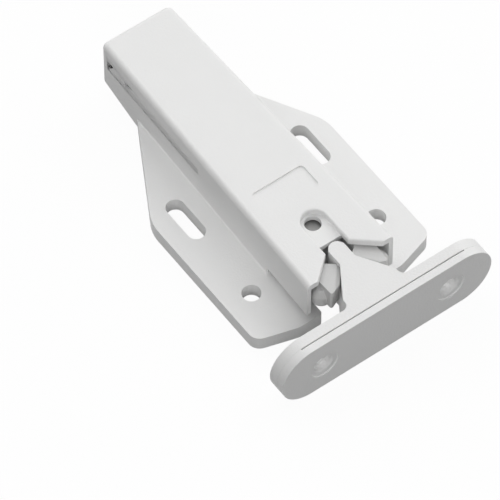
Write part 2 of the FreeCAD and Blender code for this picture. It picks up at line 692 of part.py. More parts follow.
def cover_hooks(body):
    """Uprights with rearward arms whose hooks snap into the side windows."""
    front = "WindowFront + HookSetback"
    rear = front + " + HookLength"
    low = "WindowBottom + HookLowGap"
    high = "WindowTop - HookTopGap"
    foot = "CoverRear - ArmSetback"
    inside = "%s - LedgeWidth - SeatInset - CoverGap - ArmThickness" % cavity_half("(%s)" % rear)
    arm = new_sketch(body, "ArmOutline", "YZ_Plane", inside)
    polygon(arm, (
        (foot, "LedgeLevel"),
        (foot + " + ArmFootLength", "LedgeLevel"),
        (foot + " + ArmFootLength", low),
        (rear + " - HookLead", low),
        (rear + " - HookLead", high),
        (foot, high),
    ))
    first = pad(body, "Arm", arm, "ArmThickness")
    hook = new_sketch(body, "HookOutline", "YZ_Plane", inside)
    polygon(hook, (
        (front, low),
        (rear, low),
        (rear + " - HookLead", high),
        (front, high),
    ))
    second = pad(body, "Hook", hook, "ArmThickness + LedgeWidth + SeatInset + HookReach")
    mirror(body, "OtherSide", [first, second])


def base_cover():
    """Cover under the case, with rails, post and snap arms."""
    body = new_body("base_cover")
    cover_plate(body)
    cover_rails(body)
    cover_post(body)
    cover_hooks(body)
    return body


def carriage_block(body):
    """Rear block that runs between the rails and takes the main spring."""
    block = new_sketch(body, "BlockOutline", "XY_Plane", "LedgeLevel + SlideGap")
    polygon(block, mirrored((("BlockHalf", "BlockFront"), ("BlockHalf", "BlockRear"))))
    pad(body, "Block", block, "BlockTop - LedgeLevel - SlideGap")
    bore = new_sketch(body, "SpringBoreCircle", "XZ_Plane", "-BlockRear")
    circle(bore, "0", "SpringLevel", "SpringRadius + RunGap")
    pocket(body, "SpringBore", bore, "BlockRear - SpringSeat", back=True)


def carriage_deck(body):
    """Deck that carries the claws, with a slot that passes the post."""
    top = "ClawTop - ClawHeight - SlideGap"
    bottom = "FlangeThickness + RunGap"
    half = "%s - RunGap" % cavity_half("DeckRear")
    deck = new_sketch(body, "DeckOutline", "XY_Plane", bottom)
    polygon(deck, mirrored(((half, "-DeckFront"), (half, "DeckRear"))))
    pad(body, "Deck", deck, "%s - (%s)" % (top, bottom))
    bumper = new_sketch(body, "BumperOutline", "XY_Plane", bottom)
    polygon(bumper, mirrored((
        ("BumperHalf", "-TongueTip + BumperGap"),
        ("BumperHalf", "-DeckFront + RunGap"),
    )))
    pad(body, "Bumper", bumper, "%s - (%s)" % (top, bottom))
    slot = new_sketch(body, "PostSlotOutline", "XY_Plane", top)
    half = "PostRadius + RunGap"
    arch(slot, half, "PostSetback - (%s) - PushIn" % half, "PostSetback + Travel")
    pocket(body, "PostSlot", slot, "%s - (%s)" % (top, bottom))
    holes = new_sketch(body, "PinHoles", "XY_Plane", top)
    for sign in ("", "-"):
        circle(holes, sign + "PivotOffset", "PivotSetback", "PinRadius + PressGap")
    pocket(body, "PinBores", holes, "PinDepth")


def carriage_track(body):
    """Looped track for the follower: two lanes around an island, joined at the rear."""
    start = "PostSetback + LinkReach"
    lanes = new_sketch(body, "TrackOutline", "XY_Plane", "BlockTop")
    polygon(lanes, mirrored((
        ("TrackHalf", "%s - TrackHalf - PushIn" % start),
        ("TrackHalf", start),
        ("LinkSwing + TrackHalf", "%s + Travel" % start),
        ("LinkSwing + TrackHalf", "%s + Travel + TrackHalf" % start),
    )))
    island = "LinkSwing - TrackHalf"
    polygon(lanes, (
        ("0", "%s + Travel / 2" % start),
        ("(%s) * (Travel - TrackHalf) / Travel" % island, "%s + Travel - TrackHalf" % start),
        ("-(%s) * (Travel - TrackHalf) / Travel" % island, "%s + Travel - TrackHalf" % start),
    ))
    pocket(body, "Track", lanes, "TrackDepth")


def carriage():
    """Carriage that runs in and out of the case."""
    body = new_body("carriage")
    carriage_block(body)
    carriage_deck(body)
    carriage_track(body)
    return body


def claw_outline(slanted):
    """Corners of a claw; the slanted outline draws the inner side of the jaw back."""
    nose = "NoseReach"
    rear = "-HookTip"
    front = "-HookTip - NoseFlat"
    jaw = "JawInner"
    edge = "-JawSetout"
    if slanted:
        nose = "NoseReach + SlantNose"
        rear += " + SlantNose * (HookTip - HookStart) / (HookRoot - NoseReach)"
        front += " + SlantNose * (JawInner - NoseReach) / (JawSetout - HookTip - NoseFlat)"
        jaw = "JawInner + SlantJaw"
        edge += " - SlantJaw * (TipSetout - JawSetout) / (TipOffset - JawInner)"
    return [
        ("ArmInner", "PivotSetback"),
        ("ArmInner", "-ArmStep"),
        ("HookRoot", "-ArmStep - ArmInner + HookRoot"),
        ("HookRoot", "-HookStart"),
        (nose, rear),
        (nose, front),
        (jaw, edge),
        ("TipOffset", "-TipSetout"),
        ("ArmOuter", "-CaseFront"),
        ("ArmOuter", "PivotSetback"),
    ]


def claw_arm(body, sign):
    """Arm with the hooked nose and the slanted upper edge inside the jaw."""
    sketches = []
    for name, level, slanted in (
        ("ArmOutline", "ClawTop - ClawHeight", False),
        ("SlantFoot", "ClawTop - SlantDrop", False),
        ("SlantTop", "ClawTop", True),
    ):
        outline = new_sketch(body, name, "XY_Plane", level)
        polygon(outline, [("%d * (%s)" % (sign, across), along) for across, along in claw_outline(slanted)])
        sketches.append(outline)
        if name == "ArmOutline":
            pad(body, "Arm", outline, "ClawHeight - SlantDrop")
    doc.recompute()
    loft = body.newObject("PartDesign::AdditiveLoft", "Slant")
    loft.Profile = sketches[1]
    loft.Sections = [sketches[2]]
    loft.Ruled = True
    doc.recompute()
    levels = ("ClawTop - ClawHeight / 2", "ClawTop - SlantDrop / 2")
    tip = [("%d * TipOffset" % sign, "-TipSetout", level) for level in levels]
    root = [("%d * HookRoot" % sign, "-HookStart", level) for level in levels]
    fillet(body, "TipRounding", "TipRadius", tip)
    fillet(body, "HookRounding", "HookRadius", root)


def claw(label, sign):
    """One claw: boss around its pin, arm with hooked nose, lobe on the outside."""
    body = new_body(label)
    bottom = "ClawTop - ClawHeight"
    claw_arm(body, sign)
    boss = new_sketch(body, "BossCircle", "XY_Plane", bottom)
    circle(boss, "%d * PivotOffset" % sign, "PivotSetback", "BossRadius")
    pad(body, "Boss", boss, "ClawHeight")
    lobe = new_sketch(body, "LobeCircle", "XY_Plane", bottom)
    circle(lobe, "%d * LobeOffset" % sign, "-LobeSetout", "LobeRadius")
    pad(body, "LobeFoot", lobe, "LobeBand")
    lobe_crown(body, sign)
    bore = new_sketch(body, "BoreCircle", "XY_Plane", "ClawTop")
    circle(bore, "%d * PivotOffset" % sign, "PivotSetback", "PinRadius + PinGap")
    pocket(body, "PinBore", bore, "ClawHeight")
    return body


def lobe_crown(body, sign):
    """Crown of the lobe, tapering up from its upright band into the arm."""
    level = "ClawTop - ClawHeight + LobeBand"
    low = new_sketch(body, "CrownFoot", "XY_Plane", level)
    circle(low, "%d * LobeOffset" % sign, "-LobeSetout", "LobeRadius")
    high = new_sketch(body, "CrownTop", "XY_Plane", level + " + LobeCrown")
    circle(high, "%d * LobeOffset" % sign, "-LobeSetout", "CrownRadius")
    doc.recompute()
    loft = body.newObject("PartDesign::AdditiveLoft", "Crown")
    loft.Profile = low
    loft.Sections = [high]
    doc.recompute()


def claw_pin(label, sign):
    """Plain pin that stands in the deck and carries one claw."""
    pin = doc.addObject("Part::Cylinder", label)
    pin.Label = label
    pin.setExpression("Radius", named("PinRadius"))
    pin.setExpression("Height", named("ClawHeight + SlideGap + PinDepth"))
    pin.setExpression("Placement.Base.x", named("%d * PivotOffset" % sign))
    pin.setExpression("Placement.Base.y", named("PivotSetback"))
    pin.setExpression("Placement.Base.z", named("ClawTop - ClawHeight - SlideGap - PinDepth"))
    return pin


def wire_section(angle, rise):
    """Many-sided section of the spring's wire at one place of its winding."""
    wire = number("SpringWire / 2")
    middle = number("SpringRadius - SpringWire / 2")
    sides = int(number("WireSides"))
    ring = []
    for side in range(sides):
        turn = 2 * math.pi * side / sides
        reach = middle + wire * math.cos(turn)
        along = rise + wire * math.sin(turn)
        ring.append(FreeCAD.Vector(reach * math.cos(angle), along, reach * math.sin(angle)))
    return Part.makePolygon(ring + ring[:1])


def main_spring():
    """Compression spring from the carriage's bore to the rear wall."""
    steps = int(number("WindingSteps"))
    length = number("CaseRear - RearWall - SpringSeat - SpringWire - 2 * SlideGap")
    pitch = number("SpringPitch")
    sections = []
    for step in range(int(length / pitch * steps) + 1):
        rise = number("SpringWire / 2") + step * pitch / steps
        sections.append(wire_section(2 * math.pi * step / steps, rise))
    spring = doc.addObject("Part::Feature", "main_spring")
    spring.Label = "main_spring"
    spring.Shape = Part.makeLoft(sections, True, True)
    spring.setExpression("Placement.Base.y", named("SpringSeat + SlideGap"))
    spring.setExpression("Placement.Base.z", named("SpringLevel"))
    return spring


def cam_link():
    """Bent wire: a foot in the post, the arm over the block and the follower in the track."""
    body = new_body("cam_link")
    foot = "PostTop - PostBore + SlideGap"
    path = new_sketch(body, "LinkPath", "YZ_Plane")
    polygon(path, (
        ("PostSetback", foot),
        ("PostSetback", "LinkLevel"),
        ("PostSetback + LinkReach", "LinkLevel"),
        ("PostSetback + LinkReach", "BlockTop - TrackDepth + SlideGap"),
    ), closed=False)
    wire = new_sketch(body, "LinkWire", "XY_Plane", foot)
    circle(wire, "0", "PostSetback", "LinkRadius")
    doc.recompute()
    pipe = body.newObject("PartDesign::AdditivePipe", "Wire")
    pipe.Profile = wire
    pipe.Spine = path
    pipe.Transition = 1
    doc.recompute()
    return body


def link_retainer():
    """Leaf under the roof that reaches down over the link's foot, under the recess hole."""
    body = new_body("link_retainer")
    roof = "CaseHeight - RoofThickness"
    low = "LeafTop - LeafThickness"
    profile = new_sketch(body, "LeafProfile", "YZ_Plane")
    polygon(profile, (
        ("-LeafSetout", low),
        ("LeafBend", low),
        ("LeafBend + LeafRise", "%s - LeafThickness" % roof),
        ("LeafRear", "%s - LeafThickness" % roof),
        ("LeafRear", roof),
        ("LeafBend + LeafRise", roof),
        ("LeafBend", "LeafTop"),
        ("-LeafSetout", "LeafTop"),
    ))
    pad(body, "Leaf", profile, "LeafWidth", both=True)
    return body


def tongue(body):
    """Tongue with its rounded nose, flared root and the pockets for the claws."""
    outline = new_sketch(body, "TongueOutline", "XY_Plane")
    polygon(outline, mirrored((
        ("TongueHalf", "-TongueTip - TongueHalf"),
        ("TongueHalf", "-FlareStart"),
        ("FlareMiddle", "-FlareBreak"),
        ("FlareFoot", "-FlareEnd"),
        ("FlareFoot", "-PlateRear - RunGap"),
    )))
    pad(body, "Tongue", outline, "PlateHeight")
    nose = new_sketch(body, "NoseCircle", "XY_Plane")
    circle(nose, "0", "-TongueTip - TongueHalf", "TongueHalf")
    pad(body, "Nose", nose, "PlateHeight")
    root = [("FlareFoot", "-PlateRear", "PlateHeight / 2")]
    fillet(body, "RootRounding", "TongueRoot", both_sides(root))


def tongue_pockets(body):
    """Pockets on both sides for the noses of the claws."""
    depth = "PlateHeight - CapThickness - ClawTop + ClawHeight + RunGap"
    sides = new_sketch(body, "PocketOutline", "XY_Plane", "PlateHeight - CapThickness")
    for sign in ("", "-"):
        polygon(sides, (
            (sign + "WaistHalf", "-PocketRear"),
            (sign + "(WaistHalf + TongueHalf)", "-PocketRear + TongueHalf"),
            (sign + "(WaistHalf + 2 * TongueHalf)", "-PocketRear + TongueHalf"),
            (sign + "(WaistHalf + 2 * TongueHalf)", "-PocketFront - 2 * TongueHalf"),
            (sign + "WaistHalf", "-PocketFront"),
        ))
    pocket(body, "ClawPockets", sides, depth)


def tongue_heel(body):
    """Relief under the tongue's nose, where it passes over the flange."""
    heel = new_sketch(body, "HeelOutline", "YZ_Plane")
    polygon(heel, (
        ("-HeelSetout", "0"),
        ("-TongueTip + TongueHalf", "0"),
        ("-TongueTip + TongueHalf", "FlangeThickness + RunGap"),
        ("-HeelSetout", "FlangeThickness + RunGap"),
    ))
    pocket(body, "Heel", heel, "2 * FlareFoot", both=True)


def striker():
    """Striker plate with its tongue and its screw holes."""
    body = new_body("striker")
    outline = new_sketch(body, "PlateOutline", "XZ_Plane", "PlateRear")
    stadium(outline, "0", "PlateHeight / 2", "(PlateLength - PlateHeight) / 2", "PlateHeight / 2", False)
    pad(body, "Plate", outline, "PlateThickness")
    tongue(body)
    tongue_pockets(body)
    tongue_heel(body)
    holes = new_sketch(body, "StrikerHoles", "XZ_Plane", "PlateRear")
    for sign in ("", "-"):
        circle(holes, sign + "StrikerSpacing / 2", "PlateHeight / 2", "HoleDiameter / 2")
    pocket(body, "ScrewHoles", holes, "PlateThickness", back=True)
    return body


def striker_backing():
    """Backing plate with ringed screw holes and an open joint along its straight edges."""
    body = new_body("striker_backing")
    outline = new_sketch(body, "PadOutline", "XZ_Plane", "PlateRear + PlateThickness")
    stadium(outline, "0", "PlateHeight / 2", "(PlateLength - PlateHeight) / 2", "PlateHeight / 2", False)
    pad(body, "Pad", outline, "PadThickness")
    face = "PlateRear + PlateThickness + PadThickness"
    holes = new_sketch(body, "PadHoles", "XZ_Plane", face)
    rings = new_sketch(body, "PadRings", "XZ_Plane", face)
    for sign in ("", "-"):
        circle(holes, sign + "StrikerSpacing / 2", "PlateHeight / 2", "HoleDiameter / 2")
        circle(rings, sign + "StrikerSpacing / 2", "PlateHeight / 2", "RingDiameter / 2")
    pocket(body, "ScrewHoles", holes, "PadThickness")
    pocket(body, "Rings", rings, "RingDepth")
    rim = ("(StrikerSpacing + HoleDiameter) / 2", "-(%s - RingDepth)" % face, "PlateHeight / 2")
    chamfer(body, "HoleChamfers", "HoleChamfer", both_sides([rim]))
    near = "-PlateRear - PlateThickness"
    for name, level in (("UpperJoint", "PlateHeight"), ("LowerJoint", "JointDepth")):
        joint = new_sketch(body, name + "Outline", "XY_Plane", level)
        polygon(joint, mirrored((("JointHalf", near), ("JointHalf", near + " - JointWidth"))))
        pocket(body, name, joint, "JointDepth")
    return body


def check(item):
    """Stops when an object is broken or its solid is missing."""
    if item.Shape.isNull() or not item.Shape.isValid() or not item.Shape.Solids:
        raise RuntimeError("no sound solid for " + item.Label)


def main():
    fill_sheet()
    nodes = [
        housing(),
        base_cover(),
        carriage(),
        claw("claw_left", -1),
        claw("claw_right", 1),
        claw_pin("claw_pin_left", -1),
        claw_pin("claw_pin_right", 1),
        main_spring(),
        cam_link(),
        link_retainer(),
        striker(),
        striker_backing(),
    ]
    doc.removeObject("Workings")
    doc.recompute()
    for item in doc.Objects:
        if set(item.State) & {"Invalid", "Error"}:
            raise RuntimeError("broken object " + item.Name)
    os.makedirs("parts", exist_ok=True)
    for item in nodes:
        check(item)
        item.Shape.exportStep("parts/%s.step" % item.Label)


main()
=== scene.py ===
import json
import math

import bmesh
import bpy
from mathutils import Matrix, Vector


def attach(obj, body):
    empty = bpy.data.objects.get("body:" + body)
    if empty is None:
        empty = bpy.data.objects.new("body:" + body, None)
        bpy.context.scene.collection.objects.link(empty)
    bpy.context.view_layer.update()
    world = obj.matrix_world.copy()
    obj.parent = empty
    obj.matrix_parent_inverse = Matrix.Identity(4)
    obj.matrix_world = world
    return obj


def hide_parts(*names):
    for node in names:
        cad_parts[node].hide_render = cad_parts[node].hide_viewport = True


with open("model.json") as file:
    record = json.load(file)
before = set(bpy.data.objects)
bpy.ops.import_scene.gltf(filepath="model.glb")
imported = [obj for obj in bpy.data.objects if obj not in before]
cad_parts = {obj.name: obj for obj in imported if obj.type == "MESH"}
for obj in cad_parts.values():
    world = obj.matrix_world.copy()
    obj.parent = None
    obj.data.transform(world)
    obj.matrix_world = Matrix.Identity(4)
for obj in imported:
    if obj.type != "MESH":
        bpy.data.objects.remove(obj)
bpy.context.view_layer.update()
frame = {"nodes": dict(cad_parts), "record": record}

bl_info = {
    "name": "Cupboard catch latch",
    "version": (1, 0, 0),
    "blender": (4, 5, 0),
    "location": "View3D > Sidebar > Catch",
    "description": "Dresses the cupboard catch, its claws, its works and its striker",
    "category": "Object",
}

# The bend from which an edge counts as sharp, the bend up to which two faces are one,
# the distance up to which two corners are one, the steps round a softened edge, and how
# strongly the large faces lead the shading next to it.
SHARP_BEND = math.radians(35)
FLAT_BEND = math.radians(0.3)
SAME_CORNER = 1e-6
EDGE_STEPS = 3
FLAT_WEIGHT = 100

# Sides of a round wire, and points in each turn of a coil and in each bend.
WIRE_SIDES = 16
TURN_POINTS = 32
BEND_POINTS = 8

# Cloudy tones of the plastic: how many to the metre, and how far they leave its colour.
# Then the strength of its grain and of its shine.
TONE_SCALE = 90.0
DARKEST_TONE = 0.98
PALEST_TONE = 1.01
GRAIN_STRENGTH = 0.8
PLASTIC_SHINE = 0.35

# Polish of the steel: how many uneven spots to the metre, and their roughness.
POLISH_SCALE = 900.0
SMOOTHEST_STEEL = 0.50
ROUGHEST_STEEL = 0.62

# Width of the floor, its distance under the catch, and its own surface.
FLOOR_WIDTH = 6.0
FLOOR_DROP = 0.0002
FLOOR_ROUGHNESS = 0.9
FLOOR_WHITE = 0.95

# Width of the camera's sensor in millimetres, and how far it sees in metres.
SENSOR_WIDTH = 36.0
SIGHT_RANGE = 10.0

# Where the four broad lights come from, as seen from the catch.
SOFT_LIGHTS = {
    "top": (0.62, 0.50, 1.00),
    "front": (-0.50, -0.60, 0.60),
    "rear": (0.00, 0.80, 0.60),
    "side": (0.90, 0.00, 0.45),
}


def colour_property(name, words, default):
    return bpy.props.FloatVectorProperty(
        name=name, description=words, default=default, size=3, subtype="COLOR", min=0, max=1
    )


def length_property(name, words, default):
    return bpy.props.FloatProperty(
        name=name, description=words, default=default, subtype="DISTANCE", unit="LENGTH"
    )


def number_property(name, words, default):
    return bpy.props.FloatProperty(name=name, description=words, default=default, min=0)


def angle_property(name, words, degrees):
    return bpy.props.FloatProperty(
        name=name, description=words, default=math.radians(degrees), subtype="ANGLE"
    )


class CatchFinish(bpy.types.PropertyGroup):
    case_colour: colour_property("Case", "Colour of the moulded case and its flange", (0.85, 0.85, 0.845))
    inner_colour: colour_property("Inner pieces", "Colour of the cover and carriage", (0.80, 0.80, 0.795))
    claw_colour: colour_property("Claws", "Colour of the two claws", (0.64, 0.64, 0.635))
    striker_colour: colour_property("Striker", "Colour of striker and backing", (0.83, 0.83, 0.825))
    steel_colour: colour_property("Steel", "Colour of pins, springs and wire", (0.25, 0.25, 0.245))
    roughness: number_property("Roughness", "Roughness of the plastic", 0.42)
    grain_height: length_property("Grain", "Height of the fine mould grain", 0.00006)
    grain_size: length_property("Grain size", "Width of the fine mould grain", 0.0005)


class CatchEdges(bpy.types.PropertyGroup):
    case_edge: length_property("Case edges", "Softening of the case's sharp edges", 0.00025)
    claw_edge: length_property("Claw edges", "Softening of the claws' edges", 0.00022)
    striker_edge: length_property("Striker edges", "Softening of the striker's edges", 0.00015)
    inner_edge: length_property("Inner edges", "Softening of the hidden pieces' edges", 0.00008)
    leaf_edge: length_property("Leaf edges", "Softening of the thin leaf's edges", 0.00005)
    crisp_front: length_property("Crisp from", "Front end of the crisp grooves and windows", 0.029)
    crisp_low: length_property("Crisp over", "Lower end of the crisp grooves and windows", 0.009)
    crisp_high: length_property("Crisp under", "Upper end of the crisp grooves and windows", 0.0135)


class CatchWorks(bpy.types.PropertyGroup):
    coil_radius: length_property("Coil radius", "Main spring's axis to the middle of its wire", 0.0023)
    coil_wire: length_property("Coil wire", "Radius of the main spring's wire", 0.0004)
    coil_turns: number_property("Turns", "Turns of the main spring", 9.917)
    coil_length: length_property("Coil length", "Length of the main spring", 0.04165)
    coil_seat: length_property("Coil seat", "Rearward place of the coil's front end", 0.02455)
    coil_level: length_property("Coil level", "Height of the coil's axis", 0.0068)
    link_wire: length_property("Link wire", "Radius of the cam link's wire", 0.0006)
    link_bend: length_property("Link bend", "Radius of the bends of the cam link", 0.0012)
    link_post: length_property("Post", "Rearward place of the link's foot", 0.0007)
    link_reach: length_property("Reach", "Distance between the link's foot and its follower", 0.030)
    link_level: length_property("Link level", "Height of the link's arm", 0.0125)
    foot_low: length_property("Foot", "Lower end of the link's foot", 0.00695)
    follower_low: length_property("Follower", "Lower end of the link's follower", 0.01045)


class CatchStage(bpy.types.PropertyGroup):
    azimuth: angle_property("Azimuth", "Turn of the camera round the catch", -36.266)
    elevation: angle_property("Elevation", "Height of the camera over the floor", 55.324)
    distance: length_property("Distance", "Camera to the point it looks at", 1.2946)
    aim_across: length_property("Aim across", "Sideways place of the point looked at", -0.009997)
    aim_along: length_property("Aim along", "Rearward place of the point looked at", 0.010742)
    aim_level: length_property("Aim level", "Height of the point looked at", 0.002)
    lens: number_property("Lens", "Focal length for a sensor 36 mm wide", 414.0)
    ambient: number_property("Ambient", "Strength of the light from all round", 0.07)
    top: number_property("Top", "Strength of the light from above on the right", 0.70)
    front: number_property("Front", "Strength of the light from the front on the left", 1.14)
    rear: number_property("Rear", "Strength of the light from behind", 1.26)
    side: number_property("Side", "Strength of the low light from the right", 1.22)
    spread: angle_property("Spread", "Softness of the four lights", 60)
    floor_tone: number_property("Floor", "Grey of the floor in the light that it throws back", 0.22)
    paper: number_property("Paper", "How far the floor looks white whatever falls on it", 0.95)


def new_material(name):
    """An empty material, and the shader in it."""
    material = bpy.data.materials.new(name)
    material.use_nodes = True
    return material, material.node_tree.nodes["Principled BSDF"]


def cloudy(tree, scale):
    """A random pattern that is fixed to the piece, with so many spots to the metre."""
    place = tree.nodes.new("ShaderNodeTexCoord")
    cloud = tree.nodes.new("ShaderNodeTexNoise")
    cloud.inputs["Scale"].default_value = scale
    tree.links.new(place.outputs["Object"], cloud.inputs["Vector"])
    return cloud.outputs["Fac"]


def plastic(name, colour):
    """Moulded plastic: a fine grain in the surface and a faint unevenness of tone."""
    finish = bpy.context.scene.catch_finish
    material, shader = new_material(name)
    tree = material.node_tree
    tones = tree.nodes.new("ShaderNodeValToRGB")
    for element, tone in zip(tones.color_ramp.elements, (DARKEST_TONE, PALEST_TONE)):
        element.color = [min(1.0, tone * value) for value in colour] + [1]
    tree.links.new(cloudy(tree, TONE_SCALE), tones.inputs["Fac"])
    tree.links.new(tones.outputs["Color"], shader.inputs["Base Color"])
    bump = tree.nodes.new("ShaderNodeBump")
    bump.inputs["Strength"].default_value = GRAIN_STRENGTH
    bump.inputs["Distance"].default_value = finish.grain_height
    tree.links.new(cloudy(tree, 1.0 / finish.grain_size), bump.inputs["Height"])
    tree.links.new(bump.outputs["Normal"], shader.inputs["Normal"])
    shader.inputs["Roughness"].default_value = finish.roughness
    shader.inputs["Specular IOR Level"].default_value = PLASTIC_SHINE
    return material


def steel(name, colour):
    """Dull blued steel with a fine unevenness of its polish."""
    material, shader = new_material(name)
    tree = material.node_tree
    shader.inputs["Base Color"].default_value = list(colour) + [1]
    shader.inputs["Metallic"].default_value = 1.0
    polish = tree.nodes.new("ShaderNodeMapRange")
    polish.inputs["To Min"].default_value = SMOOTHEST_STEEL
    polish.inputs["To Max"].default_value = ROUGHEST_STEEL
    tree.links.new(cloudy(tree, POLISH_SCALE), polish.inputs["Value"])
    tree.links.new(polish.outputs["Result"], shader.inputs["Roughness"])
    return material


def material_for(slot):
    """The finish of one material slot, made once."""
    name = slot + "_finish"
    if name in bpy.data.materials:
        return bpy.data.materials[name]
    finish = bpy.context.scene.catch_finish
    if slot == "steel":
        return steel(name, finish.steel_colour)
    colours = {
        "case_white": finish.case_colour,
        "inner_white": finish.inner_colour,
        "claw_grey": finish.claw_colour,
        "striker_grey": finish.striker_colour,
    }
    return plastic(name, colours[slot])


def slot_of(node):
    """Material slot that the record gives a node."""
    rows = frame["record"]["subparts"]
    return next(row["material_slot"] for row in rows if row["node"] == node)


def body_of(node):
    """Moving body that the record puts a node in."""
    bodies = frame["record"]["behaviour"]["bodies"]
    return next(body for body, nodes in bodies.items() if node in nodes)


def baked(item, name):
    """Takes an object's modifiers into a mesh of its own and drops the object."""
    bpy.context.view_layer.update()
    ready = item.evaluated_get(bpy.context.evaluated_depsgraph_get())
    mesh = bpy.data.meshes.new_from_object(ready)
    mesh.name = name
    item.modifiers.clear()
    bpy.data.objects.remove(item)
    return mesh


def finished(node, mesh):
    """Puts a finished mesh into the scene in place of the frame's own node."""
    item = bpy.data.objects.new(node + "_piece", mesh)
    bpy.context.scene.collection.objects.link(item)
    slot = slot_of(node)
    mesh.materials.clear()
    mesh.materials.append(material_for(slot))
    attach(item, body_of(node))
    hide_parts(node)


def draft(name, mesh):
    """An object that only carries modifiers until they are baked."""
    item = bpy.data.objects.new(name + "_draft", mesh)
    bpy.context.scene.collection.objects.link(item)
    return item


def weigh_edges(work, crisp):
    """Gives full weight to the sharp edges outside the crisp part, for the bevel to find."""
    weights = work.edges.layers.float.new("bevel_weight_edge")
    for edge in work.edges:
        sharp = edge.is_manifold and edge.calc_face_angle(0) > SHARP_BEND
        middle = (edge.verts[0].co + edge.verts[1].co) / 2
        edge[weights] = 1.0 if sharp and not crisp(middle) else 0.0


def nowhere(place):
    """For a piece that has no crisp part."""
    return False


def softened(node, width, crisp=nowhere):
    """Replaces a node by a copy with softened sharp edges and faces that stay flat."""
    mesh = frame["nodes"][node].data.copy()
    work = bmesh.new()
    work.from_mesh(mesh)
    bmesh.ops.remove_doubles(work, verts=work.verts, dist=SAME_CORNER)
    bmesh.ops.dissolve_limit(work, angle_limit=FLAT_BEND, verts=work.verts, edges=work.edges)
    weigh_edges(work, crisp)
    work.to_mesh(mesh)
    work.free()
    mesh.shade_smooth()
    item = draft(node, mesh)
    bevel = item.modifiers.new("Edges", "BEVEL")
    bevel.width = width
    bevel.segments = EDGE_STEPS
    bevel.limit_method = "WEIGHT"
    bevel.use_clamp_overlap = True
    weights = item.modifiers.new("Flat faces", "WEIGHTED_NORMAL")
    weights.mode = "FACE_AREA"
    weights.weight = FLAT_WEIGHT
    finished(node, baked(item, node + "_mesh"))


def new_tree(name, sizes):
    """A modifier tree with a geometry input and one input for each size."""
    tree = bpy.data.node_groups.new(name, "GeometryNodeTree")
    tree.interface.new_socket("Geometry", in_out="INPUT", socket_type="NodeSocketGeometry")
    for size in sizes:
        tree.interface.new_socket(size, in_out="INPUT", socket_type="NodeSocketFloat")
    tree.interface.new_socket("Material", in_out="INPUT", socket_type="NodeSocketMaterial")
    tree.interface.new_socket("Geometry", in_out="OUTPUT", socket_type="NodeSocketGeometry")
    return tree


def tube_along(tree, start, curve):
    """Ends a tree: a round tube along a curve, realised and given its material."""
    nodes = tree.nodes
    links = tree.links
    ring = nodes.new("GeometryNodeCurvePrimitiveCircle")
    ring.inputs["Resolution"].default_value = WIRE_SIDES
    tube = nodes.new("GeometryNodeCurveToMesh")
    tube.inputs["Fill Caps"].default_value = True
    smooth = nodes.new("GeometryNodeSetShadeSmooth")
    real = nodes.new("GeometryNodeRealizeInstances")
    paint = nodes.new("GeometryNodeSetMaterial")
    end = nodes.new("NodeGroupOutput")
    links.new(start.outputs["Wire"], ring.inputs["Radius"])
    links.new(curve, tube.inputs["Curve"])
    links.new(ring.outputs["Curve"], tube.inputs["Profile Curve"])
    links.new(tube.outputs["Mesh"], smooth.inputs["Geometry"])
    links.new(smooth.outputs["Geometry"], real.inputs["Geometry"])
    links.new(real.outputs["Geometry"], paint.inputs["Geometry"])
    links.new(start.outputs["Material"], paint.inputs["Material"])
    links.new(paint.outputs["Geometry"], end.inputs["Geometry"])


def coil_tree():
    """A wire wound round the +Y axis."""
    tree = new_tree("Coil", ("Wire", "Radius", "Turns", "Length", "Seat", "Level"))
    nodes = tree.nodes
    links = tree.links
    start = nodes.new("NodeGroupInput")
    spiral = nodes.new("GeometryNodeCurveSpiral")
    spiral.inputs["Resolution"].default_value = TURN_POINTS
    spiral.inputs["Reverse"].default_value = True
    place = nodes.new("ShaderNodeCombineXYZ")
    lay = nodes.new("GeometryNodeTransform")
    lay.inputs["Rotation"].default_value = (-math.pi / 2, 0, 0)
    links.new(start.outputs["Turns"], spiral.inputs["Rotations"])
    links.new(start.outputs["Radius"], spiral.inputs["Start Radius"])
    links.new(start.outputs["Radius"], spiral.inputs["End Radius"])
    links.new(start.outputs["Length"], spiral.inputs["Height"])
    links.new(start.outputs["Seat"], place.inputs["Y"])
    links.new(start.outputs["Level"], place.inputs["Z"])
    links.new(spiral.outputs["Curve"], lay.inputs["Geometry"])
    links.new(place.outputs["Vector"], lay.inputs["Translation"])
    tube_along(tree, start, lay.outputs["Geometry"])
    return tree


def bent_wire_tree():
    """A wire along a chain of edges, with rounded bends."""
    tree = new_tree("Bent wire", ("Wire", "Bend"))
    nodes = tree.nodes
    links = tree.links
    start = nodes.new("NodeGroupInput")
    chain = nodes.new("GeometryNodeMeshToCurve")
    bend = nodes.new("GeometryNodeFilletCurve")
    bend.mode = "POLY"
    bend.inputs["Count"].default_value = BEND_POINTS
    links.new(start.outputs["Geometry"], chain.inputs["Mesh"])
    links.new(chain.outputs["Curve"], bend.inputs["Curve"])
    links.new(start.outputs["Bend"], bend.inputs["Radius"])
    tube_along(tree, start, bend.outputs["Curve"])
    return tree


def grown(node, mesh, tree, values):
    """Runs a tree on a mesh with its sizes set, and puts the result in place of a node."""
    item = draft(node, mesh)
    modifier = item.modifiers.new(tree.name, "NODES")
    modifier.node_group = tree
    values = dict(values, Material=material_for(slot_of(node)))
    for socket in tree.interface.items_tree:
        if socket.in_out == "INPUT" and socket.name in values:
            modifier[socket.identifier] = values[socket.name]
    finished(node, baked(item, node + "_mesh"))


class CATCH_OT_case(bpy.types.Operator):
    """Case with its flange, and the cover under it"""

    bl_idname = "catch.case"
    bl_label = "Case"

    def execute(self, context):
        edges = context.scene.catch_edges

        def beside_window(place):
            return place.y > edges.crisp_front and edges.crisp_low < place.z < edges.crisp_high

        softened("housing", edges.case_edge, crisp=beside_window)
        softened("base_cover", edges.inner_edge)
        return {"FINISHED"}


